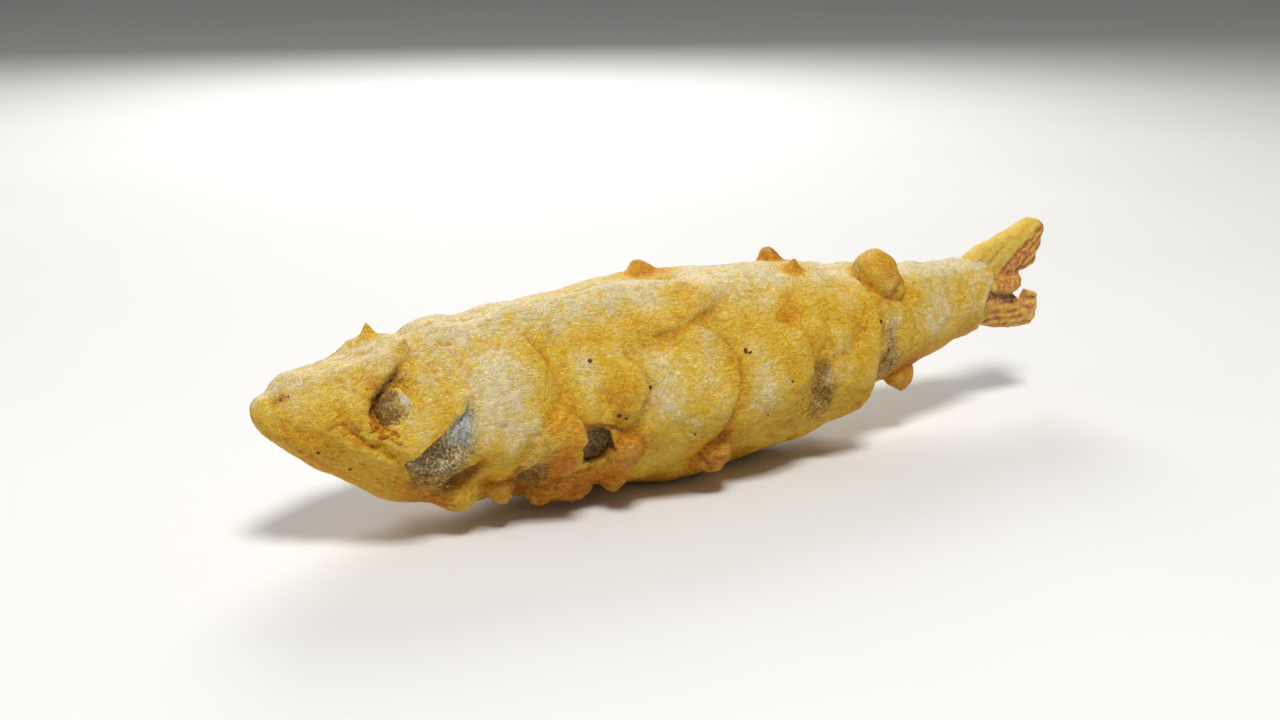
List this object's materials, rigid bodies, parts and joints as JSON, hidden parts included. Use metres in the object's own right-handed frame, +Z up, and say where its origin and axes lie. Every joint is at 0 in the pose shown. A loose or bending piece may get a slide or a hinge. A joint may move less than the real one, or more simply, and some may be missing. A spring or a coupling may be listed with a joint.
{
  "type": "fried whitebait",
  "caption": "Small whole fish fried in a lumpy golden batter coat that rests on its belly, with eyes, skin showing through at the gills and a bare crisp tail.",
  "frame": {"origin": "on the surface that the fish rests on, under the middle of its length, at its belly", "axes": "-X towards the snout, +X towards the tail, +Z up out of the back, -Y towards the fish's left side"},
  "size_m": [0.09, 0.0212, 0.0204],
  "materials": {
    "batter": "matt, dry fried crust with a faint oily sheen",
    "fish": "crisp fried skin, satin",
    "eye": "cooked, cloudy, slightly glossy"
  },
  "bodies": {
    "root": {"batter_coat": "batter", "fish": "fish", "eye_left": "eye", "eye_right": "eye"}
  },
  "joints": []
}
